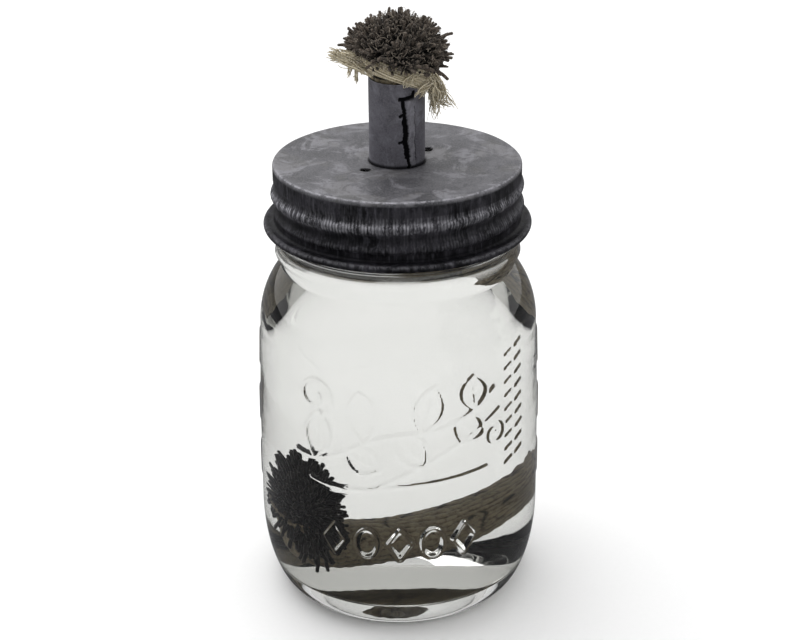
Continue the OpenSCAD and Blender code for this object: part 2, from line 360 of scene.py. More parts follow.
def clear_glass():
    """Pressed glass: almost colourless, with a moulded surface's faint waviness. Where oil wets it, light
    passes from the one to the other and hardly bends."""
    s = Shader("clear_glass", Transmission_Weight=1.0, Roughness=0.0)
    waves = s.noise(14, 2, 0.4)
    tint = s.blend(waves, (0.915, 0.919, 0.913), (0.89, 0.896, 0.888))
    ior = s.math("ADD", GLASS_IOR, s.math("MULTIPLY", s.value("wet"), GLASS_IOR / OIL_IOR - GLASS_IOR))
    return s.finish(Base_Color=tint, Normal=s.bump(waves, 0.35, 0.35), IOR=ior)


def lamp_oil_liquid():
    """Clear lamp oil, faintly warm. Only its surface in the air bends light: elsewhere the glass does."""
    s = Shader("lamp_oil", Transmission_Weight=1.0, IOR=OIL_IOR, Roughness=0.0)
    tint = s.blend(s.noise(30, 2), (0.925, 0.923, 0.916), (0.9, 0.897, 0.888))
    s.clear_where(s.value("wet"), tint)
    return s.finish(Base_Color=tint)


def aged_zinc(name, dark, mid, light, olive):
    """Galvanised sheet, blackened and then scuffed by rubbing: torn-edged clouds and specks. The mesh's
    "side" value fades it into a near-black, streaked, sooty skin: painted shade that makes the sides darker
    than the top. Its rubbing value lays on bright metal, partly scuffed edges and partly painted highlight,
    and its blackening value lays on black, partly dirty seams and partly painted shade."""
    s = Shader(name, Metallic=0.25)
    side, grime_and_shade = s.value("side"), s.value("grime_and_shade")
    black, rub_highlight_colour = (0.002, 0.002, 0.003), (0.4, 0.395, 0.43)
    clouds = s.noise(24, 9, 0.6, twist=0.5)
    spots = s.noise(2.6, 7, 0.68)
    grain = s.noise(0.45, 3, 0.7)

    tone = s.blend(s.range(clouds, 0.4, 0.58), dark, mid)
    tone = s.stain(tone, light, s.noise(12, 10, 0.66, twist=0.7), 0.48, 0.56, 0.8)
    tone = s.stain(tone, dark, s.noise(1.6, 6, 0.75, s.stretched(1, 0.2, 1)), 0.5, 0.66, 0.45)
    tone = s.stain(tone, dark, s.noise(7, 9, 0.7, twist=0.6), 0.54, 0.62, 0.6)
    tone = s.stain(tone, dark, spots, 0.5, 0.68, 0.5)
    tone = s.stain(tone, (0.075, 0.072, 0.06), s.noise(12, 4), 0.5, 0.6, olive)
    tone = s.stain(tone, light, grain, 0.42, 0.66, 0.4)

    # painted shade: the near-black, streaked and specked sooty skin that the sides take
    soot_and_shade = s.blend(s.range(s.noise(9, 6, 0.6), 0.42, 0.62), (0.0025, 0.0025, 0.0035), (0.022, 0.021, 0.026))
    soot_and_shade = s.stain(soot_and_shade, (0.07, 0.069, 0.082), s.noise(0.9, 6, 0.65, s.stretched(1, 1, 0.1)), 0.5, 0.66, 0.5)
    soot_and_shade = s.stain(soot_and_shade, black, spots, 0.5, 0.66, 0.6)

    # painted shade: where the mesh's side value is high, the sheet turns to the dark skin
    tone = s.blend(side, tone, soot_and_shade)
    # painted highlight and real scuffing: bright metal laid where the mesh marks rubbing and highlight,
    # broken into fine streaks
    rub_streaks_and_highlight = s.range(s.noise(1.5, 8, 0.78, s.stretched(1, 1, 0.35)), 0.42, 0.58, 0.1, 1.0)
    tone = s.blend(s.math("MULTIPLY", s.value("wear_and_highlight"), rub_streaks_and_highlight, True), tone, rub_highlight_colour)
    # painted shade and dirt: black laid where the mesh's grime value is high
    tone = s.blend(grime_and_shade, tone, black)
    height = s.math("ADD", s.math("MULTIPLY", spots, 0.6), s.math("MULTIPLY", grain, 0.4))
    return s.finish(
        Base_Color=tone,
        Specular_IOR_Level=s.range(s.math("MAXIMUM", side, grime_and_shade), 0.0, 1.0, 0.35, 0.1),
        Roughness=s.range(s.math("ADD", clouds, s.math("MULTIPLY", grain, 0.25)), 0.4, 0.9, 0.42, 0.66),
        Normal=s.bump(height, 0.14, 0.6),
    )


def seal_rubber():
    """Cream rubber with a fine mottle."""
    s = Shader("seal_rubber", Roughness=0.7)
    speck = s.noise(0.8, 4)
    tone = s.blend(s.range(speck, 0.35, 0.65), (0.42, 0.39, 0.32), (0.6, 0.57, 0.5))
    return s.finish(Base_Color=tone, Normal=s.bump(speck, 0.08, 0.5))


def soldered_ferrule():
    """Lumpy solder, dull in its hollows."""
    s = Shader("soldered_ferrule", Metallic=0.8)
    lumps = s.noise(1.6, 5)
    tone = s.blend(s.range(lumps, 0.35, 0.65), (0.1, 0.1, 0.11), (0.36, 0.36, 0.37))
    shine = s.range(lumps, 0.3, 0.7, 0.25, 0.6)
    return s.finish(Base_Color=tone, Roughness=shine, Normal=s.bump(lumps, 0.25, 0.7))


def yarn(name, dark, mid, light, fleck, roughness=0.92):
    """Twisted cotton yarn: fibres run along it, each strand has its own tone, and pale fibres fleck it."""
    s = Shader(name, Roughness=roughness, Specular_IOR_Level=0.15, Sheen_Weight=0.1, Sheen_Roughness=0.6)
    fibre = s.noise(0.35, 4, 0.7)
    tone = s.blend(s.range(s.value("tone"), 0.0, 1.0), dark, mid)
    tone = s.stain(tone, light, fibre, 0.45, 0.7, 0.7)
    tone = s.stain(tone, (0.42, 0.36, 0.27), s.noise(0.7, 3, 0.8), 0.62, 0.7, fleck)
    tone = s.blend(s.math("MULTIPLY", s.value("shade"), 0.9), tone, (0.004, 0.0035, 0.003))
    return s.finish(Base_Color=tone, Normal=s.bump(fibre, 0.12, 0.8))


def woven_braid():
    """The wick's woven jacket, soaked: brown yarns with fuzz and dark tracers, darker in the gaps between
    yarns as painted shade and paler on the crowns as painted highlight.
    """
    s = Shader("wick_braid", Roughness=0.6, Specular_IOR_Level=0.3, Sheen_Weight=0.15)
    fibre = s.noise(0.3, 4, 0.7)
    fuzz = s.noise(1.8, 6, 0.8)
    # painted shade and highlight: the colour runs from dark in the weave's gaps to paler on its crowns
    tone = s.blend(s.range(s.value("crown"), 0.2, 0.85), (0.075, 0.06, 0.04), (0.24, 0.198, 0.128))
    tone = s.stain(tone, (0.38, 0.32, 0.21), fibre, 0.45, 0.7, 0.5)
    tone = s.stain(tone, (0.31, 0.27, 0.19), fuzz, 0.5, 0.62, 0.6)
    tone = s.stain(tone, (0.05, 0.04, 0.026), fuzz, 0.46, 0.36, 0.6)
    tone = s.stain(tone, (0.15, 0.125, 0.085), s.noise(6, 4), 0.5, 0.7, 0.4)
    tone = s.blend(s.value("tracer"), tone, (0.006, 0.005, 0.004))
    return s.finish(Base_Color=tone, Normal=s.bump(fibre, 0.1, 0.7))


def pale_floor():
    """Pale paper. Mirrored in glass or metal it is dimmer, as if black cards stood beside the lens."""
    s = Shader("floor_paper", Roughness=0.9, Specular_IOR_Level=0.1)
    grain = s.noise(1.5, 3)
    paper = s.blend(grain, (0.9, 0.9, 0.9), (0.93, 0.93, 0.93))
    ray = s.add("ShaderNodeLightPath")
    mirrored = s.math("SUBTRACT", ray.outputs["Is Glossy Ray"], ray.outputs["Is Transmission Ray"], True)
    return s.finish(Base_Color=s.blend(mirrored, paper, (0.16, 0.16, 0.165)), Normal=s.bump(grain, 0.05, 0.3))


# ---------------------------------------------------------------- glass jar


def inside_outline():
    """The jar's inner wall, from the mouth down to the middle of the floor."""
    bend = SHOULDER_BEND - WALL
    return np.concatenate([
        [[MOUTH_R + 0.1, JAR_H - 0.6], [MOUTH_R, JAR_H - 1.6], [MOUTH_R, 118], [MOUTH_R, 112]],
        [[MOUTH_R + 0.2, 108], [31.0, 103.5]],
        arc(SHOULDER_R - WALL - bend, SHOULDER_Z, bend, bend, SHOULDER_SWEEP, 0, 20),
        [[37.0, 70], [37.25, 60], [37.4, 48], [37.4, 40], [37.4, 33]],
        arc(26, FLOOR_Z + 21, JAR_R - WALL - 26.2, 21, 0, -math.pi / 2, 26),
        [[23, FLOOR_Z], [20, FLOOR_Z + 0.1], [15, FLOOR_Z + 0.5], [10, FLOOR_Z + 1.1], [5, FLOOR_Z + 1.4]],
    ])


def outside_outline():
    """The jar's outer wall, from the middle of its hollow base up to its lip, dense where it is embossed."""
    levels = np.linspace(HEEL_RISE + 0.2, SHOULDER_Z - 0.2, 240)
    side = np.interp(levels, [HEEL_RISE, 40, 60, SHOULDER_Z], [JAR_R, JAR_R - 0.1, JAR_R - 0.4, SHOULDER_R])
    body = np.concatenate([
        arc(BASE_RING[1], HEEL_RISE, JAR_R - BASE_RING[1], HEEL_RISE, -math.pi / 2, 0, 200),
        np.stack([side, levels], -1),
        arc(SHOULDER_R - SHOULDER_BEND, SHOULDER_Z, SHOULDER_BEND, SHOULDER_BEND, 0, SHOULDER_SWEEP, 120),
    ])
    along, height = walked(body), body[:, 1]
    embossed = (height > 25) & (height < 38) | (height > 47) & (height < 87)
    gaps = np.where(embossed, 0.42, 1.3)
    marks = np.concatenate([[0], np.cumsum(np.diff(along) / gaps[1:])])
    wanted = np.interp(np.linspace(0, marks[-1], int(marks[-1])), marks, along)
    body = np.stack([np.interp(wanted, along, body[:, k]) for k in (0, 1)], -1)
    return np.concatenate([
        [[6, 2.4], [12, 2.0], [18, 1.6], [22, 1.2], [25, 0.75], [27.5, 0.25], [BASE_RING[0], 0], [30, 0]],
        body,
        [[34.4, 104.3], [33.6, 105.8], [33.1, 107.3], [33.0, 108.4]],
        [[33.3, 109.2], [34.1, 109.7], [34.6, 110.0]],
        [[34.88, 110.5], [34.9, 110.9], [34.7, 111.5], [34.1, 112.0], [33.3, 112.2], [NECK_R, 112.7]],
        np.stack([np.full(30, NECK_R), np.linspace(113.2, JAR_H - 1.4, 30)], -1),
        [[NECK_R - 0.15, JAR_H - 0.8], [32.3, JAR_H - 0.25]],
        [[31.7, JAR_H], [31.0, JAR_H], [30.5, JAR_H - 0.2]],
    ])


def jar_columns():
    """Angles round the jar, close together where the glass is embossed."""
    fine, coarse = 0.0106, 0.026
    start, end, back = FRONT - 0.95, FRONT + 1.06, FRONT + math.pi
    spans = ((start, end, fine), (end, back, coarse), (back, start + TURN, coarse))
    return np.concatenate([np.linspace(a, b, int((b - a) / step), endpoint=False) for a, b, step in spans])


def stroke(u, v, points, width, height, closed=False):
    """Raised height at (u, v) of a rounded line through points, in millimetres on the unrolled surface."""
    points = np.asarray(points, float)
    if closed:
        points = np.concatenate([points, points[:1]])
    away = np.full(u.shape, 9.0)
    for (x0, y0), (x1, y1) in zip(points[:-1], points[1:]):
        dx, dy = x1 - x0, y1 - y0
        t = np.clip(((u - x0) * dx + (v - y0) * dy) / max(dx * dx + dy * dy, 1e-9), 0, 1)
        away = np.minimum(away, np.hypot(u - x0 - t * dx, v - y0 - t * dy))
    return height * (1 - ease(away / (width / 2), 0.35, 1.25))


def leaf_outline(x, y, angle, length, belly):
    """An almond leaf that starts at (x, y) and points along angle."""
    t = np.linspace(0, 1, 12)
    half = belly * np.sin(math.pi * t) ** 0.8
    side = np.concatenate([np.stack([t * length, half], -1), np.stack([t * length, -half], -1)[::-1][1:-1]])
    c, s = math.cos(angle), math.sin(angle)
    return np.stack([x + side[:, 0] * c - side[:, 1] * s, y + side[:, 0] * s + side[:, 1] * c], -1)


def spiral(x, y, radius, start, turns):
    """A tendril that winds inwards from radius round (x, y)."""
    t = np.linspace(0, 1, 26)
    a = start + TURN * turns * t
    r = radius * (1 - 0.75 * t)
    return np.stack([x + r * np.cos(a), y + r * np.sin(a)], -1)


def embossing(angle, z):
    """Height of the pressed decoration over the plain glass: a leafy sprig and a swash on the front, a row of
    plain shapes low down, a filling scale on the right, flow marks above and raised beads on both sides."""
    u = turn_gap(angle, FRONT) * JAR_R
    total = np.zeros(u.shape)

    def press(points, width=1.3, height=0.55, closed=False):
        points = np.asarray(points, float)
        low, high = points.min(0) - 2.5, points.max(0) + 2.5
        near = (u > low[0]) & (u < high[0]) & (z > low[1]) & (z < high[1])
        total[near] = np.maximum(total[near], stroke(u[near], z[near], points, width, height, closed))

    samples = 40
    stem = soft_curve([(-31, 56), (-22, 54), (-10, 64), (4, 66), (17, 66), (29, 75)], samples)
    press(stem, 1.5, 0.6)
    for share, lean, length in (
        (0.12, 1.3, 14), (0.26, -0.95, 11), (0.38, 1.25, 15), (0.52, -1.05, 12), (0.64, 1.2, 14),
        (0.77, -0.95, 10), (0.88, 1.05, 10),
    ):
        i = int(share * (samples - 1))
        heading = math.atan2(*(stem[i + 1] - stem[i])[::-1])
        press(leaf_outline(*stem[i], heading + lean, length, 4.0), 1.3, 0.62, True)
        rib = 0.7 * length * np.array([math.cos(heading + lean), math.sin(heading + lean)])
        press([stem[i], stem[i] + rib], 0.9, 0.28)
    press(spiral(-25, 74, 6.5, -1.3, 1.3), 1.3, 0.62)
    press(spiral(29, 61, 4.5, 2.0, -1.2), 1.2, 0.36)
    press(soft_curve([(-26, 49), (-14, 46.5), (-4, 50), (10, 50), (26, 51.5)], 30), 1.6, 0.42)
    press(soft_curve([(-6, 49), (6, 56), (20, 62), (31, 68)], 30), 1.4, 0.4)
    row_z, row_pitch = 31.5, 9.2
    for k in range(5):
        x = (k - 2) * row_pitch
        if k % 2:
            ring = np.linspace(0, TURN, 20, endpoint=False)
            press(np.stack([x + 3.0 * np.cos(ring), row_z + 4.4 * np.sin(ring)], -1), 1.3, 0.7, True)
        else:
            press([(x - 3.2, row_z), (x, row_z - 4.7), (x + 3.2, row_z), (x, row_z + 4.7)], 1.3, 0.7, True)
    scale_z, scale_pitch = 50, 4.1
    for k in range(9):
        level = scale_z + scale_pitch * k
        press([(33.8, level), (36.4, level + 0.9)], 0.9, 0.34)
        press([(38.6, level + 1.4), (41.4, level + 2.4)], 0.9, 0.34)
    for fold in (
        [(-35, 93), (-25, 89), (-13, 91), (0, 87.5)], [(-31, 86), (-23, 80), (-15, 83), (-7, 86), (-3, 82)],
        [(9, 90), (19, 87), (31, 91)], [(16, 83), (20, 79), (19, 75)],
    ):
        press(soft_curve(fold, 24), 1.5, 0.2)
    quarter = JAR_R * math.pi / 2
    for side in (-1, 1):
        for level in (38, 56, 74):
            press([(side * quarter, level - 4.5), (side * quarter, level + 4.5)], 3.4, 0.38)
    return total


def neck_thread(angle, z):
    """Height of the raised screw thread over the neck, which fades away at both ends."""
    ridge_z0, turns, height, half_top, half_foot, fade_share = 116.4, 1.2, 1.02, 0.4, 1.7, 0.08
    first = TURN * (ridge_z0 + BEAD_LEAD - BEAD_Z0) / PITCH
    total = np.zeros(np.shape(angle))
    for lap in range(-1, 3):
        t = (np.remainder(angle - first, TURN) + TURN * lap) / (TURN * turns)
        centre = ridge_z0 + turns * PITCH * t
        fade = ease(t, 0, fade_share) * ease(1 - t, 0, fade_share)
        total = np.maximum(total, height * fade * (1 - ease(np.abs(z - centre), half_top, half_foot)))
    return total


def glass_jar():
    """The jar as one closed skin, embossed outside, plain inside. Its "wet" value marks the oiled wall."""
    angle = jar_columns()
    outer, inner = outside_outline(), inside_outline()
    a, z = np.meshgrid(angle, outer[:, 1])
    slope = unit(np.gradient(outer, axis=0))
    out_r, out_z = slope[:, 1:2], -slope[:, 0:1]
    raised = np.where((z > 3) & (z < 100), embossing(a, z), 0.0)
    raised = raised + np.where((z > 112.9) & (z < JAR_H - 1), neck_thread(a, z), 0.0)
    outside = polar(outer[:, :1] + raised * out_r, a, z + raised * out_z)
    inside = polar(inner[:, :1], angle[None, :], inner[:, 1:])
    verts, quads, tris = loft([pole(2.5), *outside, *inside, pole(FLOOR_Z + 1.5)])
    inner_wall = np.arange(len(verts)) > outside.shape[0] * len(angle)
    wet = inner_wall * (verts[:, 2] < OIL_Z)
    jar = make_mesh("jar_glass", verts, quads, tris, clear_glass(), {"wet": wet})
    settle(jar, "glass_jar", "jar")


def lamp_oil():
    """The oil. It wets the glass, so its skin lies just inside the wall's glass, with a small meniscus."""
    soak = 0.1
    wall = inside_outline()[::-1]
    wall = wall[wall[:, 1] < OIL_Z - 1.2]
    edge_r = wall[-1, 0]
    profile = np.concatenate([
        wall + [soak, -soak],
        [[edge_r + soak - 0.1, OIL_Z + 0.9], [edge_r - 0.4, OIL_Z + 0.35], [edge_r - 1.4, OIL_Z + 0.08]],
        [[edge_r - 3, OIL_Z], [18, OIL_Z], [8, OIL_Z]],
    ])
    angle = np.linspace(0, TURN, 256, endpoint=False)
    rings = [polar(r, angle, z) for r, z in profile]
    verts, quads, tris = loft([pole(FLOOR_Z + 1.5 - soak), *rings, pole(OIL_Z)])
    wet = verts[:, 2] < OIL_Z - 1.0
    oil = make_mesh("oil_fill", verts, quads, tris, lamp_oil_liquid(), {"wet": wet})
    settle(oil, "lamp_oil", "jar")


# ---------------------------------------------------------------- lid


def lid_skirt_radius(angle, z):
    """The lid's outer radius in its threaded stretch, and how proud each point is of the thread's middle."""
    half = LID_DEPTH / 2
    bead_z = BEAD_Z0 + PITCH * angle / TURN
    wave = np.cos(TURN * (z - bead_z) / PITCH)
    inside = ease(z, SKIRT_BOTTOM + 0.9, SKIRT_BOTTOM + 2.3) * ease(SKIRT_TOP - z, 0, 2.2)
    return LID_R + (LID_BEAD_R - half + half * wave - LID_R) * inside, wave * inside


def lid_top_height(points, bumps):
    """Lift of the lid's flat top: shallow bumps, the dish where the tube is fixed and a rise at the edge."""
    x, y = points[:, 0], points[:, 1]
    r = np.hypot(x, y)
    lift = -0.18 * (1 - ease(r, 8, 15)) - 0.1 * ease(r, 24, 31) + 0.12 * ease(r, 31, 33)
    for at, reach, size, width in bumps:
        gap = (x - reach * math.cos(at)) ** 2 + (y - reach * math.sin(at)) ** 2
        lift = lift + size * np.exp(-gap / width**2) * (1 - ease(r, 31, 33.5))
    return lift


def screw_lid():
    """The stamped lid: top, rounded edge, plain band, ribbed thread, flare and curled rim, all one sheet.
    Its outside is followed from the centre hole down to the curl, then its inside back up to the hole."""
    rng = np.random.default_rng(SEED)
    fine, ribs, rib_height, edge_round = 960, 240, 0.1, 1.0
    a = np.linspace(0, TURN, fine, endpoint=False)
    ac = a[::4]
    rib_size = rib_height * (0.3 + 0.7 * np.repeat(rng.uniform(0, 1, ribs), fine // ribs))
    rib_wave = np.cos(ribs * a + 0.4)
    dents = wobble(rng, a, range(2, 12), 0.05)
    bumps = [
        (rng.uniform(0, TURN), rng.uniform(8, 33), rng.normal(0, 0.09), rng.uniform(4, 9))
        for _ in range(26)
    ]
    rings, wear_and_highlight, grime_and_shade = [], [], []

    def add(ring, wear_and_highlight_level=0.0, dirt_and_shade=0.0):
        rings.append(ring)
        wear_and_highlight.append(np.broadcast_to(wear_and_highlight_level, (len(ring),)))
        grime_and_shade.append(np.broadcast_to(dirt_and_shade, (len(ring),)))

    def add_flat(r, z, dirt_and_shade):
        ring = polar(r, ac, z)
        ring[:, 2] += lid_top_height(ring, bumps)
        add(ring, 0, dirt_and_shade)

    hole_r = TUBE_R + 0.02
    # the sheet next to the tube is darkened, fading out within a millimetre of the hole
    add_flat(hole_r, LID_TOP - 0.12, 0.9)
    for step in (0.2, 0.7):
        add_flat(hole_r + step, LID_TOP, 0.9 - step)
    for r in np.linspace(hole_r + 1.5, LID_R - 1.3, 24):
        add_flat(r, LID_TOP, 0)
    for t in np.linspace(0, math.pi / 2, 7):
        # painted highlight with some scuffing: a bright line along the rounded top edge, strongest on the
        # viewer's side
        edge = math.exp(-((t - 0.7) ** 2) / 0.06) * (0.4 + 0.55 * np.clip(-np.sin(a), 0, 1))
        add(polar(LID_R - edge_round + math.sin(t) + dents, a, LID_TOP - edge_round + math.cos(t)), edge)
    for z in np.arange(LID_TOP - 1.5, SKIRT_TOP + 0.2, -0.45):
        add(polar(LID_R + dents, a, z), 0.04)
    for z in np.arange(SKIRT_TOP, SKIRT_BOTTOM, -0.3):
        r, crest = lid_skirt_radius(a, z)
        # painted highlight: the beads' crests and upper slopes, which face the light above, take bright
        # metal, most on the top bead and broken by the rib ticks; painted shade: the grooves between the
        # beads take black
        ridge = np.clip(crest, 0, 1) ** 0.7
        upper = np.clip(np.sin(TURN * (z - BEAD_Z0 - PITCH * a / TURN) / PITCH), 0, 1)
        shine = 0.22 + 1.3 * float(ease(z, 117.5, 120.5))
        ticks = 0.6 + 0.5 * rib_wave * rib_size / rib_height
        rub_and_highlight = np.clip((0.2 + 0.8 * ridge) * (0.35 + 0.65 * upper) * ticks, 0, 1) * shine
        add(polar(r + dents + rib_size * rib_wave * ridge, a, z), rub_and_highlight, 0.5 * np.clip(-crest, 0, 1))
    # painted shade: the flare under the thread, down to the curl, is half blackened
    for drop, out in ((0.2, 0.02), (0.5, 0.12), (0.75, 0.45), (0.87, 0.95)):
        add(polar(LID_R + out + dents, a, SKIRT_BOTTOM - drop), 0, 0.5)

    curl_r, curl_z = RIM_R - CURL_R, LID_BOTTOM + CURL_R
    inner_curl = CURL_R - SHEET
    open_end = math.radians(-215)
    for t in np.linspace(math.radians(112), open_end, 26):
        wear_and_highlight_level = 0.22 * math.exp(-((t - 0.6) ** 2) / 0.2)
        add(polar(curl_r + CURL_R * math.cos(t) + dents * 0.6, a, curl_z + CURL_R * math.sin(t)), wear_and_highlight_level)
    # the curl's inside and the lid's underside are darkened
    for t in np.linspace(open_end, math.radians(95), 9):
        add(polar(curl_r + inner_curl * math.cos(t), ac, curl_z + inner_curl * math.sin(t)), 0, 0.6)
    for r, z in (
        (LID_R + 0.8, curl_z + 0.5), (LID_R + 0.3, SKIRT_BOTTOM - 1.1), (LID_R - SHEET, SKIRT_BOTTOM - 0.7),
    ):
        add(polar(r, ac, z), 0, 0.6)
    for z in np.arange(SKIRT_BOTTOM + 0.2, SKIRT_TOP + 0.2, 0.6):
        add(polar(lid_skirt_radius(ac, z)[0] - SHEET, ac, z), 0, 0.3)
    for r, z in ((LID_R - SHEET, 127), (LID_R - SHEET, LID_TOP - 1), (LID_R - 0.7, LID_TOP - 0.55)):
        add(polar(r, ac, z), 0, 0.3)
    for r in (LID_R - 1.2, 28, 20, 13, hole_r):
        add_flat(r, LID_TOP - SHEET, 0.2)

    verts, quads, tris = loft(rings, closed=True)
    metal = aged_zinc("aged_zinc", (0.036, 0.0355, 0.04), (0.1, 0.099, 0.108), (0.205, 0.202, 0.221), 0.3)
    # painted shade: everything below the top's rounded edge is marked as side and takes the dark skin
    side = 1 - ease(verts[:, 2], LID_TOP - 1.6, LID_TOP - 0.7)
    values = {"wear_and_highlight": np.concatenate(wear_and_highlight), "grime_and_shade": np.concatenate(grime_and_shade), "side": side}
    lid = make_mesh("lid_sheet", verts, quads, tris, metal, values)
    cut_vents(lid)
    settle(lid, "screw_lid", "lid")


def cut_vents(lid):
    """Cuts the two punched air holes, each a little out of round."""
    rng = np.random.default_rng(SEED + 1)
    orbit, radius = 12.0, 1.6
    a = np.linspace(0, TURN, 40, endpoint=False)
    low, high = LID_TOP - 3, LID_TOP + 2
    cutters = []
    for turn in (math.radians(45), math.radians(225)):
        r = radius + wobble(rng, a, range(2, 7), 0.06)
        centre = np.array([orbit * math.cos(turn), orbit * math.sin(turn), 0])
        rings = [centre + ring for ring in (pole(low), polar(r, a, low), polar(r, a, high), pole(high))]
        cutters.append(make_mesh(f"vent_cutter_{len(cutters)}", *loft(rings)))
    for cutter in cutters:
        cut = lid.modifiers.new("cut", "BOOLEAN")
        cut.operation = "DIFFERENCE"
        cut.solver = "EXACT"
        cut.object = cutter
        apply_modifiers(lid)
        bpy.data.objects.remove(cutter)


def apply_modifiers(piece):
    """Bakes a piece's modifiers into its mesh."""
    bpy.context.view_layer.update()
    evaluated = piece.evaluated_get(bpy.context.evaluated_depsgraph_get())
    mesh = bpy.data.meshes.new_from_object(evaluated)
    piece.modifiers.clear()
    piece.data = mesh


# ---------------------------------------------------------------- tube


def wick_tube():
    """Sheet rolled into a tube and torn at the top: the lap stands proud of it beside a jagged groove,
    blackened as the lap edge's painted shadow with dark flux in it, and the lap itself is lightened as a
    painted highlight.
    """
    rng = np.random.default_rng(SEED + 2)
    fine_from, fine_to = math.radians(-100), math.radians(-34)
    a = np.concatenate([
        np.linspace(fine_from, fine_to, 84, endpoint=False),
        np.linspace(fine_to, fine_from + TURN, 110, endpoint=False),
    ])
    heights = np.concatenate([[TUBE_BOTTOM, TUBE_BOTTOM + 3], np.linspace(LID_TOP - 1, TUBE_TOP, 110)])
    angle, z = np.meshgrid(a, heights)
    z[-1] += wobble(rng, a, range(1, 5), 0.1)
    jitter = np.convolve(rng.normal(0, 0.16, len(heights)), [0.25, 0.5, 0.25], "same")
    across = (angle - FRONT) * TUBE_R + jitter[:, None]
    up = z - LID_TOP

    deep = np.zeros(z.shape)
    for points, width in (
        ([(2.2, 13.2), (2.35, 9), (2.5, 6.4), (2.7, 4.4), (2.9, 2.9)], 1.9),
        ([(1.6, 19.2), (1.8, 17.2), (2.0, 15.4), (2.2, 13.2)], 1.4),
        ([(2.9, 2.9), (3.15, 1.5), (3.3, -0.5)], 1.0),
        ([(0.9, 19.2), (2.1, 19.2), (3.5, 19.5), (4.6, 19.7), (5.0, 20.8)], 1.5),
        ([(0.9, 7.0), (2.4, 7.4)], 1.0),
        ([(0.9, 14.4), (2.0, 15.2)], 1.1),
    ):
        deep = np.maximum(deep, stroke(across, up, points, width, 1.0))
    # painted shadow with dark flux: the seam groove beside the lap's lifted edge is blackened as well as sunk
    deep = ease(deep, 0.25, 0.8)
    crack = stroke(across, up, [(4.9, 17), (5.25, 13), (5.1, 8), (5.5, 2)], 0.5, 0.7)
    lap = ease(across, 2.6, 3.2) * (1 - ease(across, 4.9, 5.3))
    lap = lap * ease(up, -0.5, 0.5) * (1 - ease(up, 18.6, 19.2))
    dents = np.zeros(z.shape)
    for _ in range(14):
        size = rng.normal(0, 0.07)
        aside = turn_gap(angle, rng.uniform(0, TURN)) * TUBE_R
        above = up - rng.uniform(0, 23)
        dents = dents + size * np.exp(-(aside**2) / 16 - above**2 / 25)
    lap_height, groove_depth = 0.32, 0.36
    outside = polar(TUBE_R + dents + lap_height * lap - groove_depth * deep, angle, z)
    inside = polar(TUBE_R - SHEET, angle, z)[::-1]
    verts, quads, tris = loft([*outside, *inside], closed=True)
    foot = 0.9 * (1 - ease(up, 0.1, 0.9)) * ease(up, -2, -1)
    lip = 0.5 * ease(z, TUBE_TOP - 0.5, TUBE_TOP)
    values = {
        # painted shadow and flux in the seam groove, a dark crack, darkening at the foot, and the inside
        # darkened all over
        "grime_and_shade": np.concatenate([np.clip(deep + crack + foot, 0, 1).ravel(), np.full(z.size, 0.8)]),
        # painted highlight: the proud lap strip takes bright metal; the torn lip at the top is lighter too
        "wear_and_highlight": np.concatenate([(lip + 0.35 * lap).ravel(), np.zeros(z.size)]),
        "side": np.zeros(len(verts)),
    }
    metal = aged_zinc("tube_zinc", (0.07, 0.068, 0.08), (0.13, 0.127, 0.148), (0.2, 0.197, 0.228), 0.1)
    settle(make_mesh("tube_sheet", verts, quads, tris, metal, values), "wick_tube", "lid")


# ---------------------------------------------------------------- yarns


def strands(rng, paths, radius, sides, lobe, twist, taper):
    """Twisted yarns as closed tubes. paths is strands x points x 3, and radius is per strand. Returns
    vertices, quads, triangles and each vertex's strand number and place along its strand."""
    count, rows = paths.shape[:2]
    tangent = unit(np.gradient(paths, axis=1))
    lead = unit(rng.normal(size=(count, 1, 3)) + [0, 0, 0.01])
    side = unit(lead - tangent * np.sum(lead * tangent, -1, keepdims=True))
    other = np.cross(tangent, side)
    step = np.linalg.norm(np.diff(paths, axis=1), axis=-1)
    along = np.concatenate([np.zeros((count, 1)), np.cumsum(step, axis=1)], axis=1)
    phi = np.linspace(0, TURN, sides, endpoint=False)
    turn = (along * twist + rng.uniform(0, TURN, (count, 1)))[..., None]
    share = np.linspace(0, 1, rows)[None, :, None]
    size = radius[:, None, None] * (1 + lobe * np.cos(2 * (phi - turn))) * (1 - (1 - taper) * share**3)
    ring = paths[:, :, None] + size[..., None] * spoke(phi[:, None], side[:, :, None], other[:, :, None])
    blunt = radius[:, None]
    root = paths[:, 0] - tangent[:, 0] * blunt * 0.3
    tip = paths[:, -1] + tangent[:, -1] * blunt * 0.5
    ends = np.stack([root, tip], 1)
    verts = np.concatenate([ring.reshape(count, -1, 3), ends], axis=1).reshape(-1, 3)

    per = rows * sides + 2
    root_pole, tip_pole = per - 2, per - 1
    j = np.arange(sides)
    j2 = (j + 1) % sides
    last_ring = (rows - 1) * sides
    root_fan = np.stack([np.full(sides, root_pole), j2, j], -1)
    tip_fan = np.stack([np.full(sides, tip_pole), last_ring + j, last_ring + j2], -1)
    shift = (np.arange(count) * per)[:, None, None]
    quads = (ring_faces(rows, sides)[None] + shift).reshape(-1, 4)
    tris = (np.concatenate([root_fan, tip_fan])[None] + shift).reshape(-1, 3)
    number = np.repeat(np.arange(count), per)
    place = np.tile(np.concatenate([np.repeat(np.linspace(0, 1, rows), sides), [0, 1]]), count)
    return verts, quads, tris, number, place


def spoke(phi, side, other):
    """Unit vector at angle phi between side and other."""
    return np.cos(phi) * side + np.sin(phi) * other


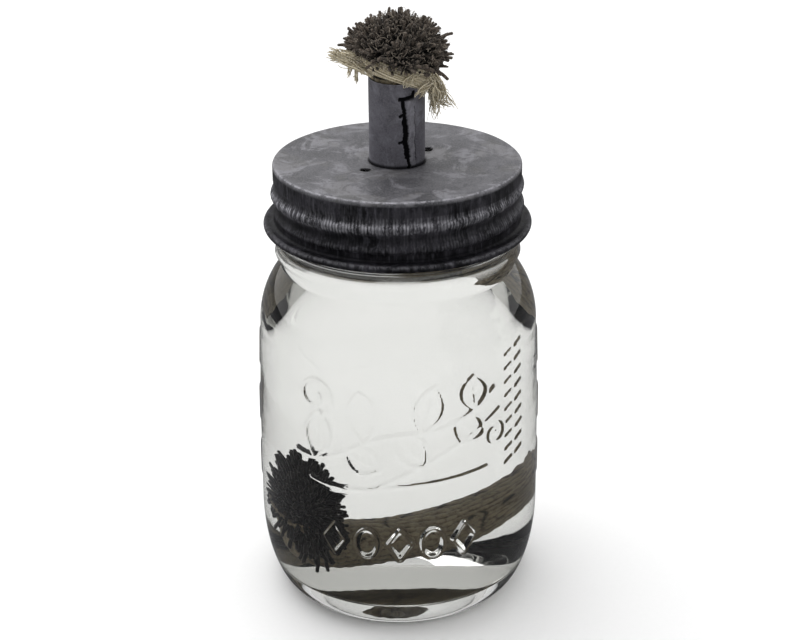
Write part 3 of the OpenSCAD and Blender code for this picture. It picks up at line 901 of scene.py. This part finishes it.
def bezier(p0, p1, p2, p3, rows):
    """Cubic curves, one per row of the four sets of points, at even steps of their parameter."""
    t = np.linspace(0, 1, rows)[None, :, None]
    p0, p1, p2, p3 = (np.asarray(p)[:, None] for p in (p0, p1, p2, p3))
    return (1 - t) ** 3 * p0 + 3 * (1 - t) ** 2 * t * p1 + 3 * (1 - t) * t**2 * p2 + t**3 * p3


def crimp(rng, paths, size):
    """Small smooth bends along each strand, none at its root."""
    count, rows = paths.shape[:2]
    t = np.linspace(0, 1, rows)[None, :, None]
    bend = np.zeros_like(paths)
    for k in (1, 2, 3):
        lean = rng.normal(size=(count, 1, 3))
        bend = bend + lean * np.sin(k * math.pi * t + rng.uniform(0, TURN, (count, 1, 1))) / k
    return paths + size * t * bend


def golden_turn(k):
    """Angles a golden angle apart, which spread any number of points evenly round an axis."""
    return k * math.pi * (3 - 5**0.5)


def sunflower(count, reach):
    """Directions spread evenly over a cap of a sphere, from straight up to reach radians from it."""
    k = np.arange(count) + 0.5
    return np.arccos(1 - (1 - math.cos(reach)) * k / count), golden_turn(k)


def wick_mop(wick_yarn):
    """The frayed head of the wick: hundreds of twisted yarns that spring from the tube and curl outwards.
    They hang lower on the right than on the left, where the torn jacket holds them up."""
    rng = np.random.default_rng(SEED + 3)
    count, rows = 760, 14
    reach = math.radians(102)
    tilt, around = sunflower(count, reach)
    droop = 0.9 + 0.16 * np.cos(around + 0.3)
    tilt = tilt * (1 - (1 - droop) * ease(tilt, 0.8, 1.7)) + rng.normal(0, 0.09, count)
    around = around + rng.normal(0, 0.09, count)
    direction = polar(np.sin(tilt), around, np.cos(tilt))
    length = (1 + rng.normal(0, 0.055, count) - 0.12 * rng.uniform(0, 1, count) ** 3)[:, None]
    tip = MOP_CENTRE + direction * MOP_STRETCH * length
    root_r = 5.6 * np.sqrt(np.clip(tilt / reach, 0, 1))
    root = polar(root_r, around, TUBE_TOP - 1.5)
    knee = polar(root_r * 1.15, around, TUBE_TOP + 4.0 + 1.5 * np.cos(tilt))
    lean = tip - direction * [5.0, 5.0, 5.5] + rng.normal(0, 0.8, (count, 3))
    curl = np.cross(direction, rng.normal(size=(count, 3))) * rng.uniform(0, 1.1, (count, 1))
    paths = crimp(rng, bezier(root, knee, lean, tip, rows), 0.45)
    share = np.linspace(0, 1, rows)[None, :, None]
    paths = paths + curl[:, None] * ease(share, 0.7, 1.0)
    verts, quads, tris, number, _ = strands(rng, paths, rng.uniform(0.38, 0.58, count), 6, 0.25, 3.0, 0.8)
    tone = np.clip(rng.normal(0.45, 0.3, count), 0, 1)[number]
    depth = 1 - ease(np.linalg.norm((verts - MOP_CENTRE) / MOP_STRETCH, axis=1), 0.72, 1.03)
    mop = make_mesh("mop_yarns", verts, quads, tris, wick_yarn, {"tone": tone, "shade": depth})
    settle(mop, "wick_mop", "wick")


def mop_strays(wick_yarn):
    """Loose ends: short pale fibres over the mop's surface and a few yarns that stand out of it."""
    rng = np.random.default_rng(SEED + 4)
    count = 1100
    tilt = np.arccos(rng.uniform(-0.05, 1, count))
    out = polar(np.sin(tilt), rng.uniform(0, TURN, count), np.cos(tilt))
    start = MOP_CENTRE + out * MOP_STRETCH * rng.uniform(0.86, 1.0, (count, 1))
    drift = unit(out + rng.normal(0, 0.9, (count, 3)))
    end = start + drift * rng.uniform(0.6, 2.0, (count, 1))
    mid = (start + end) / 2 + rng.normal(0, 0.35, (count, 3))
    paths = bezier(start, mid, mid, end, 6)
    verts, quads, tris, number, _ = strands(rng, paths, rng.uniform(0.05, 0.11, count), 4, 0, 0, 0.5)
    tone = rng.uniform(0, 1, count)[number]
    pale = yarn("pale_fibre", (0.05, 0.042, 0.035), (0.24, 0.2, 0.16), (0.5, 0.44, 0.36), 0.2)
    fibres = make_mesh("mop_fibres", verts, quads, tris, pale, {"tone": tone, "shade": np.zeros(len(verts))})
    settle(fibres, body="wick")

    ends = np.array([
        [(-6, -1, 158), (-15.6, -1, 162.0)], [(6, 0, 157), (15.0, -1, 159.6)],
        [(7, 1, 159), (15.0, 1, 164.8)], [(6, -2, 157), (13.6, -3, 153.8)],
        [(5, 5, 158), (9.6, 9.8, 163.5)], [(-3, 6, 158), (-6, 13.5, 160.5)],
    ])
    roots, tips = ends[:, 0], ends[:, 1]
    bow = (tips + roots) / 2 + [0, 0, 1.5]
    paths = crimp(rng, bezier(roots, bow, bow, tips, 14), 0.5)
    verts, quads, tris, _, _ = strands(rng, paths, np.full(len(tips), 0.5), 8, 0.22, 2.8, 0.7)
    values = {"tone": np.full(len(verts), 0.6), "shade": np.zeros(len(verts))}
    settle(make_mesh("mop_loose_yarns", verts, quads, tris, wick_yarn, values), body="wick")


def bundle(rng, spine, count, width, depth, radius, spread, lag, swirl, rows=22, curl=0.3):
    """Threads that run together along a spine, in a flat bundle that twists and spreads at its end. width and
    depth are given at its start, middle and end, and lag is the most that a thread's ends may lack."""
    spine = resample(spine, rows)
    side, other = path_frames(spine)
    t = np.linspace(0, 1, rows)
    angle = rng.uniform(0, TURN, count)[:, None] + swirl * t[None] * rng.uniform(0.5, 1.2, (count, 1))
    share = np.sqrt(rng.uniform(0, 1, count))[:, None]
    fan = 1 + spread * ease(t, 0.55, 1.0)[None]
    x = share * np.cos(angle) * np.interp(t, [0, 0.5, 1], width)[None] * fan
    y = share * np.sin(angle) * np.interp(t, [0, 0.5, 1], depth)[None] * fan
    paths = spine[None] + x[..., None] * side[None] + y[..., None] * other[None]
    first = rng.uniform(0, lag, count)
    last = 1 - rng.uniform(0, lag, count)
    trimmed = np.empty((count, rows, 3))
    for k in range(count):
        kept = np.linspace(first[k], last[k], rows)
        trimmed[k] = np.stack([np.interp(kept, t, paths[k, :, axis]) for axis in range(3)], -1)
    return crimp(rng, trimmed, curl), radius * rng.uniform(0.6, 1.5, count)


def frayed_jacket():
    """The torn upper end of the woven jacket: a tan band round the wick, a tuft to the left and one hanging
    right, with small stubs and knots along them."""
    rng = np.random.default_rng(SEED + 5)
    z0 = TUBE_TOP
    parts = []

    def add(spine, *shape):
        parts.append(bundle(rng, soft_curve(spine, 60), *shape))

    band = [(-9.2, 4, z0 + 6.6), (-10.4, -2.5, z0 + 6.4), (-7.4, -8.0, z0 + 5.2), (0, -11.0, z0 + 3.6),
            (6.5, -8.8, z0 + 1.2), (9.8, -3.6, z0 - 1.0)]
    add(band, 210, (2.9, 2.3, 1.9), (1.2, 1.2, 1.0), 0.17, 0.2, 0.1, 2.4, 30)
    back = [(9.2, -3, z0 + 1.5), (9.9, 4, z0 + 2.4), (4, 9.6, z0 + 2.8), (-4, 9.4, z0 + 4.2),
            (-9.5, 4, z0 + 6.0)]
    add(back, 130, (2.0, 2.0, 2.4), (1.0, 1.1, 1.1), 0.17, 0.1, 0.1, 2.0, 30)
    left = [(-5.5, -7.6, z0 + 4.0), (-9.4, -6.0, z0 + 5.4), (-13.6, -3.6, z0 + 6.3), (-18.2, -2.0, z0 + 7.0)]
    add(left, 150, (2.9, 2.0, 0.8), (1.5, 1.2, 0.7), 0.14, 0.8, 0.45, 1.6, 22, 0.5)
    add(left[1:], 40, (1.6, 1.6, 1.2), (1.2, 1.2, 0.8), 0.1, 0.9, 0.5, 3.0)
    for x, drop, count in ((-11.0, 5.4, 18), (-12.6, 3.4, 12), (-9.6, 3.0, 10)):
        top = z0 + 4.6
        stub = [(x + 0.6, -4.6, top), (x - 0.2, -4.4, top - drop * 0.5), (x + 0.2, -4.2, top - drop)]
        add(stub, count, (0.7, 0.5, 0.3), (0.5, 0.4, 0.3), 0.13, 0.4, 0.3, 1.8, 12)
    right = [(6.4, -8.2, z0 + 3.4), (9.6, -5.4, z0 + 0.8), (10.8, -3.4, z0 - 3.0), (12.4, -2.2, z0 - 6.2),
             (15.2, -1.2, z0 - 8.2)]
    add(right, 120, (2.7, 2.0, 0.8), (1.5, 1.3, 0.7), 0.13, 0.9, 0.6, 2.2, 24, 0.85)
    hanging = [(8.6, -6.4, z0 + 1.5), (9.9, -4.4, z0 - 3.4), (10.2, -3.6, z0 - 8.0), (11.4, -3.0, z0 - 11.0)]
    add(hanging, 60, (1.9, 1.3, 0.8), (1.2, 0.9, 0.7), 0.12, 0.8, 0.6, 2.0, 22, 0.8)
    knot_r = 11.3
    for x, up in ((3.5, 3.0), (6.0, 3.6), (8.2, 1.8), (7.4, -0.8), (9.8, -2.4)):
        turn = rng.uniform(0, TURN)
        hop = np.array([math.cos(turn), -0.3, math.sin(turn)]) * 2.6
        at = np.array([x, -math.sqrt(knot_r**2 - x**2), z0 + up])
        knot = [at - hop, at + [0, -0.8, 0.9], at + hop * 0.6, at + hop + [0.6, 0, -0.8]]
        add(knot, 34, (0.9, 1.2, 0.9), (0.7, 0.9, 0.7), 0.12, 0.8, 0.4, 3.5, 14)

    verts, quads, tris, tones, shift = [], [], [], [], 0
    for paths, radius in parts:
        v, q, t, number, place = strands(rng, paths, radius, 4, 0.0, 0.0, 0.6)
        verts.append(v)
        quads.append(q + shift)
        tris.append(t + shift)
        tones.append(np.clip(rng.normal(0.45, 0.3, len(paths)), 0, 1)[number] * (0.6 + 0.4 * place))
        shift += len(v)
    verts = np.concatenate(verts)
    inner = 1 - ease(np.hypot(verts[:, 0], verts[:, 1]), 6.5, 8.6)
    cotton = yarn("frayed_cotton", (0.26, 0.215, 0.13), (0.76, 0.68, 0.5), (0.94, 0.89, 0.76), 0.25)
    values = {"tone": np.concatenate(tones), "shade": inner * 0.8}
    quads, tris = np.concatenate(quads), np.concatenate(tris)
    fray = make_mesh("jacket_frayed_threads", verts, quads, tris, cotton, values)
    settle(fray, "jacket_fray", "wick")


# ---------------------------------------------------------------- woven jacket, upper and lower


def press_to_wall(points):
    """Flattens the hanging wick against the inner wall of the glass, between its bends."""
    r = np.hypot(points[..., 0], points[..., 1])
    z = points[..., 2]
    flat = 0.32 * ease(z, 18, 28) * (1 - ease(z, 70, 88))
    wall = np.interp(z, [18, 27, 40, 60, 70, 83, 95], [35.4, 37.1, 37.2, 37.0, 36.9, 36.0, 33.0])
    pressed = np.minimum(wall - (wall - r) * (1 - flat), wall)
    scale = np.where((z > 18) & (z < 95), pressed / np.maximum(r, 1e-6), 1)
    return np.concatenate([points[..., :2] * scale[..., None], points[..., 2:]], -1)


def woven_sleeve(name, path, radius, rows, braid):
    """A closed sleeve of plain weave along a path. Warp and weft crowns are real relief, and the material
    reads how high each point stands and which yarns are dark tracers."""
    rng = np.random.default_rng(SEED + 6)
    warps, wall, relief, brick_length = 26, 1.0, 0.5, 1.4
    path = resample(path, rows)
    side, other = path_frames(path)
    along = walked(path)[:, None]
    phi = np.linspace(0, TURN, warps * 4, endpoint=False)
    u = phi[None, :] * warps / TURN
    v = along / (brick_length * TURN * radius / warps)
    u = u + 0.3 * np.sin(v * 0.55 + 2.2 * np.sin(phi)) + 0.2 * np.sin(v * 1.3 + 3.1 * np.cos(2 * phi))
    v = v + 0.35 * np.sin(0.35 * v + 1.7 * np.sin(2 * phi))
    brick = v + 0.5 * (np.floor(u) % 2)
    crown = np.abs(np.sin(math.pi * u)) ** 0.5 * (0.3 + 0.7 * np.abs(np.sin(math.pi * brick)) ** 0.45)
    squash = 1 + 0.035 * np.sin(2 * phi[None, :] + along * 0.05) + 0.02 * np.sin(along * 0.31)
    r = radius * squash + relief * (crown - 0.75)
    outwards = spoke(phi[:, None], side[:, None], other[:, None])
    skin = press_to_wall(path[:, None] + r[..., None] * outwards)
    lining = press_to_wall(path[:, None] + (radius - wall) * outwards)
    tracer = np.zeros_like(crown)
    for warp in rng.choice(warps, 5, replace=False):
        dash = (np.floor(v + rng.uniform(0, 9)) % 3 == 0) & (np.abs(u - warp - 0.5) < 0.3)
        tracer = np.maximum(tracer, dash * 0.9)
    for weft in np.arange(2, v.max(), 6.5):
        broken = np.sin(3 * phi[None, :] + 2.3 * weft) > 0.1
        tracer = np.maximum(tracer, broken * (np.abs(v - weft - 0.4 * np.sin(u)) < 0.15) * 0.85)
    verts, quads, tris = loft([*skin, *lining[::-1]], closed=True)
    plain = np.zeros(crown.size)
    marks = {"crown": crown, "tracer": tracer}
    values = {key: np.concatenate([mark.ravel(), plain]) for key, mark in marks.items()}
    return make_mesh(name, verts, quads, tris, braid, values)


def yarn_core(name, path, radius, rows, material):
    """The bundle of yarns inside the jacket, as twisted strands packed round each other."""
    rng = np.random.default_rng(SEED + 7)
    count = 36
    path = resample(path, rows)
    side, other = path_frames(path)
    k = np.arange(count) + 0.5
    r = (radius - 0.75) * np.sqrt(k / count)
    phi = golden_turn(k)[:, None] + walked(path)[None] * 0.05
    paths = press_to_wall(path[None] + r[:, None, None] * spoke(phi[..., None], side[None], other[None]))
    verts, quads, tris, number, _ = strands(rng, paths, np.full(count, 0.72), 6, 0.15, 1.4, 1.0)
    tone = rng.uniform(0.2, 0.8, count)[number]
    return make_mesh(name, verts, quads, tris, material, {"tone": tone, "shade": np.full(len(verts), 0.3)})


def wick(wick_yarn):
    """Both lengths of the wick: the upper one slides in the tube and goes with the wick, and the lower one
    hangs in the oil, fixed where it is made."""
    braid = woven_braid()
    top = TUBE_TOP + 0.6
    upper = np.array([(0, 0, UPPER_BOTTOM), (0, 0, (UPPER_BOTTOM + top) / 2), (0, 0, top)])
    for part, node, path, jacket_r, core_r, jacket_rows, core_rows in (
        ("top", "upper", upper, 6.9, 5.9, 90, 24),
        ("low", "lower", soft_curve(LOWER_WAY, 400), 6.75, 5.6, 420, 120),
    ):
        jacket = woven_sleeve(f"wick_jacket_{part}", path, jacket_r, jacket_rows, braid)
        core = yarn_core(f"wick_core_{part}", path, core_r, core_rows, wick_yarn)
        settle(jacket, f"wick_jacket_{node}")
        settle(core, f"wick_core_{node}")
        for piece in (jacket, core):
            if part == "top":
                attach(piece, "wick")
            else:
                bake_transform(piece)


def wick_tail():
    """The frayed lower end: black, soaked yarns that splay out in the oil like an old brush."""
    rng = np.random.default_rng(SEED + 8)
    root = np.array(LOWER_WAY[-1], float)
    heading = unit(np.array([0.3, -0.2, 0.93]))
    side = unit(np.cross(heading, [0, 1, 0.2]))
    other = np.cross(heading, side)
    count, reach = 420, math.radians(132)
    stretch = np.array([0.66, 0.8, 1.25])
    tilt, around = sunflower(count, reach)
    spread = spoke(around[:, None], side, other)
    direction = spoke(tilt[:, None], heading, spread)
    start = root - heading * 3.5 + spread * 5.6 * (tilt / reach)[:, None] ** 0.7
    tip = root + direction * stretch * rng.uniform(11.5, 15.5, (count, 1))
    lean = tip - direction * stretch * 5 + rng.normal(0, 0.8, (count, 3))
    paths = keep_inside(crimp(rng, bezier(start, start + heading * 6, lean, tip, 15), 0.7), 36.0)
    verts, quads, tris, number, _ = strands(rng, paths, rng.uniform(0.5, 0.68, count), 6, 0.2, 2.4, 0.9)
    soaked = yarn("wet_yarn", (0.004, 0.0035, 0.003), (0.012, 0.0105, 0.009), (0.04, 0.036, 0.031), 0.04, 0.5)
    values = {"tone": rng.uniform(0, 1, count)[number], "shade": np.zeros(len(verts))}
    settle(make_mesh("wick_tail_yarns", verts, quads, tris, soaked, values), "wick_tail", "jar")


def keep_inside(points, limit):
    """Pulls points back to within the glass's inner wall and up off its floor."""
    points = np.array(points)
    r = np.hypot(points[..., 0], points[..., 1])
    low = np.interp(points[..., 2], [7, 12, 18, 27], [limit - 9, limit - 3.5, limit - 1.2, limit])
    scale = np.minimum(1, low / np.maximum(r, 1e-6))
    points[..., 0] *= scale
    points[..., 1] *= scale
    points[..., 2] = np.maximum(points[..., 2], 8.6)
    return points


# ---------------------------------------------------------------- CAD nodes that keep their own shape


def finish_cad_nodes():
    """Gives the two pieces that keep their CAD shape their materials."""
    for node, material in (("sealing_ring", seal_rubber()), ("tube_collar", soldered_ferrule())):
        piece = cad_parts[node]
        piece.data.materials.clear()
        piece.data.materials.append(material)


# ---------------------------------------------------------------- stage


def stage():
    """A pale floor in a white room, one soft lamp above it, and colours shown as they are."""
    size = 3.0
    floor_mesh = bpy.data.meshes.new("floor")
    corners = [(-size, -size, 0), (size, -size, 0), (size, size, 0), (-size, size, 0)]
    floor_mesh.from_pydata(corners, [], [(0, 1, 2, 3)])
    floor_mesh.materials.append(pale_floor())
    floor = bpy.data.objects.new("floor", floor_mesh)
    bpy.context.scene.collection.objects.link(floor)

    bpy.context.scene.world = studio_world()
    soft_light("top_light", (-0.25, 0.25, 0.9), 0.9, 6.0)
    bpy.context.scene.view_settings.view_transform = "Standard"


def studio_world():
    """A white room, open and bright above and behind, and dim on the viewer's side."""
    world = bpy.data.worlds.new("studio")
    world.use_nodes = True
    tree = world.node_tree
    where = tree.nodes.new("ShaderNodeTexCoord").outputs["Generated"]
    split = tree.nodes.new("ShaderNodeSeparateXYZ")
    tree.links.new(where, split.inputs[0])
    near = tree.nodes.new("ShaderNodeMapRange")
    near.interpolation_type = "SMOOTHSTEP"
    lean = tree.nodes.new("ShaderNodeMath")
    lean.operation = "MULTIPLY_ADD"
    tree.links.new(split.outputs["Z"], lean.inputs[0])
    lean.inputs[1].default_value = 1.2
    tree.links.new(split.outputs["Y"], lean.inputs[2])
    tree.links.new(lean.outputs[0], near.inputs[0])
    for k, v in enumerate((-0.5, 0.25, DIM_SIDE, BRIGHT_SIDE)):
        near.inputs[k + 1].default_value = v
    tree.links.new(near.outputs[0], tree.nodes["Background"].inputs[1])
    tree.nodes["Background"].inputs[0].default_value = (1, 1, 1, 1)
    return world


def soft_light(name, place, size, power):
    """A square lamp that faces the upper half of the jar."""
    data = bpy.data.lights.new(name, "AREA")
    data.size = size
    data.energy = power
    lamp = bpy.data.objects.new(name, data)
    lamp.location = place
    lamp.rotation_euler = (Vector((0, 0, 0.09)) - Vector(place)).to_track_quat("-Z", "Y").to_euler()
    bpy.context.scene.collection.objects.link(lamp)


def camera():
    """Half a metre from the middle of the object, looking down at it by about 25 degrees."""
    tilt = math.radians(24.5)
    roll = math.radians(-0.4)
    distance = 0.5
    aim_z = 0.08135
    data = bpy.data.cameras.new("camera")
    data.sensor_width = 36
    data.lens = 78.6
    data.shift_x = 0.0022
    data.clip_start = 0.01
    view = bpy.data.objects.new("camera", data)
    view.location = (0, -distance * math.cos(tilt), aim_z + distance * math.sin(tilt))
    view.rotation_mode = "ZYX"
    view.rotation_euler = (math.pi / 2 - tilt, 0, roll)
    bpy.context.scene.collection.objects.link(view)
    bpy.context.scene.camera = view


glass_jar()
lamp_oil()
screw_lid()
wick_tube()
dry_yarn = yarn("wick_yarn", (0.016, 0.012, 0.0095), (0.085, 0.067, 0.053), (0.25, 0.207, 0.168), 0.5)
wick_mop(dry_yarn)
mop_strays(dry_yarn)
frayed_jacket()
wick(dry_yarn)
wick_tail()
finish_cad_nodes()
stage()
camera()
